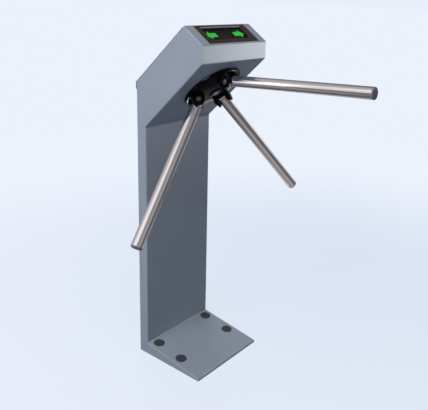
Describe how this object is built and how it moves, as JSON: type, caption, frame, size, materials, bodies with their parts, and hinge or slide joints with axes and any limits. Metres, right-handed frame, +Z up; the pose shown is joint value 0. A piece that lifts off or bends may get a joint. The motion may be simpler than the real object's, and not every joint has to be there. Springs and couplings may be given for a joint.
{
  "type": "tripod turnstile",
  "caption": "Compact floor-standing tripod turnstile: bent-sheet column on a wedge foot, slanted head with arrow display, and a hub with folding arms on a tilted shaft.",
  "frame": {"origin": "centre of the floor anchor pattern, on the floor", "axes": "+Z up; -Y toward the nose of the head and the barrier arm; X is the direction in which people walk through"},
  "size_m": [0.732, 0.6871, 1.05],
  "materials": {
    "powder_coat": "fine-textured powder coat",
    "zinc_plate": "zinc plated",
    "soft_black": "matte",
    "bezel_plastic": "dark grained gloss",
    "smoked_pane": "smoked",
    "circuit_board": "matte",
    "green_light": "lit lens",
    "machined_steel": "machined",
    "sleeve_metal": "cast",
    "dark_fastener": "black oxide",
    "motor_body": "satin",
    "coil_wrap": "wound coil under tape",
    "hard_black": "satin",
    "brass_metal": "machined",
    "hub_enamel": "gloss enamel",
    "stainless": "polished satin",
    "chrome_metal": "polished"
  },
  "bodies": {
    "frame": {"housing": "powder_coat", "base_plate": "zinc_plate", "foot_ribs": "zinc_plate", "foot_plugs": "soft_black", "cable_bush": "soft_black", "display_bezel": "bezel_plastic", "display_pane": "smoked_pane", "indicator_board": "circuit_board", "left_arrow_light": "green_light", "right_arrow_light": "green_light", "mechanism_plate": "zinc_plate", "plate_spacers": "machined_steel", "plate_bolts": "dark_fastener", "bearing_sleeve": "sleeve_metal", "sleeve_bolts": "dark_fastener", "lower_bearing": "machined_steel", "upper_bearing": "machined_steel", "gearmotor": "motor_body", "pawl_posts": "machined_steel", "solenoid_brackets": "zinc_plate", "solenoid_frames": "zinc_plate", "solenoid_coils": "coil_wrap", "sensor_fork": "hard_black", "control_board": "circuit_board", "board_standoffs": "brass_metal", "power_supply": "sleeve_metal", "housing_hinge_leaves": "zinc_plate", "hinge_pins": "machined_steel", "lid_catch": "zinc_plate"},
    "hub": {"hub": "hub_enamel", "hub_cap": "hard_black", "shaft_nuts": "dark_fastener", "main_shaft": "machined_steel", "drive_key": "machined_steel", "spacer_ring": "machined_steel", "index_disc": "machined_steel", "main_gear": "brass_metal", "encoder_disc": "hard_black", "arm_bolts": "dark_fastener", "arm_nuts": "dark_fastener"},
    "barrier_arm": {"barrier_arm_tube": "stainless", "barrier_arm_root": "stainless", "barrier_arm_cap": "hard_black"},
    "right_arm": {"right_arm_tube": "stainless", "right_arm_root": "stainless", "right_arm_cap": "hard_black"},
    "left_arm": {"left_arm_tube": "stainless", "left_arm_root": "stainless", "left_arm_cap": "hard_black"},
    "drive_pinion": {"drive_pinion": "machined_steel", "motor_shaft": "machined_steel"},
    "left_pawl": {"left_pawl": "machined_steel"},
    "right_pawl": {"right_pawl": "machined_steel"},
    "left_plunger": {"left_plunger": "machined_steel"},
    "right_plunger": {"right_plunger": "machined_steel"},
    "lid": {"head_lid": "powder_coat", "lid_hinge_leaves": "zinc_plate", "lock_barrel": "chrome_metal"},
    "lock": {"lock_plug": "chrome_metal", "lock_cam": "zinc_plate"}
  },
  "joints": [
    {"name": "hub_turn", "type": "hinge", "parent": "frame", "child": "hub", "pos_m": [0, -0.05938, 0.8735], "axis": [0, 0.6806, 0.7327], "continuous": true},
    {"name": "drive_pinion_turn", "type": "hinge", "parent": "frame", "child": "drive_pinion", "pos_m": [0, -0.00077, 0.81906], "axis": [0, 0.6806, 0.7327], "continuous": true},
    {"name": "barrier_arm_fold", "type": "hinge", "parent": "hub", "child": "barrier_arm", "pos_m": [0, -0.12606, 0.89723], "axis": [1, 0, 0], "range_deg": [0, 52]},
    {"name": "right_arm_fold", "type": "hinge", "parent": "hub", "child": "right_arm", "pos_m": [0.05629, -0.05463, 0.83087], "axis": [-0.5, 0.6345, -0.5894], "range_deg": [0, 52]},
    {"name": "left_arm_fold", "type": "hinge", "parent": "hub", "child": "left_arm", "pos_m": [-0.05629, -0.05463, 0.83087], "axis": [-0.5, -0.6345, 0.5894], "range_deg": [0, 52]},
    {"name": "left_pawl_swing", "type": "hinge", "parent": "frame", "child": "left_pawl", "pos_m": [-0.046, -0.09015, 0.90209], "axis": [0, -0.6806, -0.7327], "range_deg": [0, 11], "stiffness_Nm_per_rad": 0.5, "springref_deg": -17.19},
    {"name": "left_plunger_slide", "type": "slide", "parent": "frame", "child": "left_plunger", "axis": [-1, 0, 0], "range_m": [0, 0.0047]},
    {"name": "right_pawl_swing", "type": "hinge", "parent": "frame", "child": "right_pawl", "pos_m": [0.046, -0.09015, 0.90209], "axis": [0, 0.6806, 0.7327], "range_deg": [0, 11], "stiffness_Nm_per_rad": 0.5, "springref_deg": -17.19},
    {"name": "right_plunger_slide", "type": "slide", "parent": "frame", "child": "right_plunger", "axis": [1, 0, 0], "range_m": [0, 0.0047]},
    {"name": "lid_open", "type": "hinge", "parent": "frame", "child": "lid", "pos_m": [0, -0.07573, 1.04321], "axis": [1, 0, 0], "range_deg": [0, 85]},
    {"name": "cover_lock_turn", "type": "hinge", "parent": "lid", "child": "lock", "pos_m": [0, 0.08543, 0.90272], "axis": [0, 0.6683, 0.7439], "range_deg": [0, 90]}
  ],
  "couplings": [
    {"joint": "drive_pinion_turn", "follows": "hub_turn", "ratio": -3},
    {"joint": "left_plunger_slide", "follows": "left_pawl_swing", "m_per_rad": 0.023853},
    {"joint": "right_plunger_slide", "follows": "right_pawl_swing", "m_per_rad": 0.023853}
  ]
}
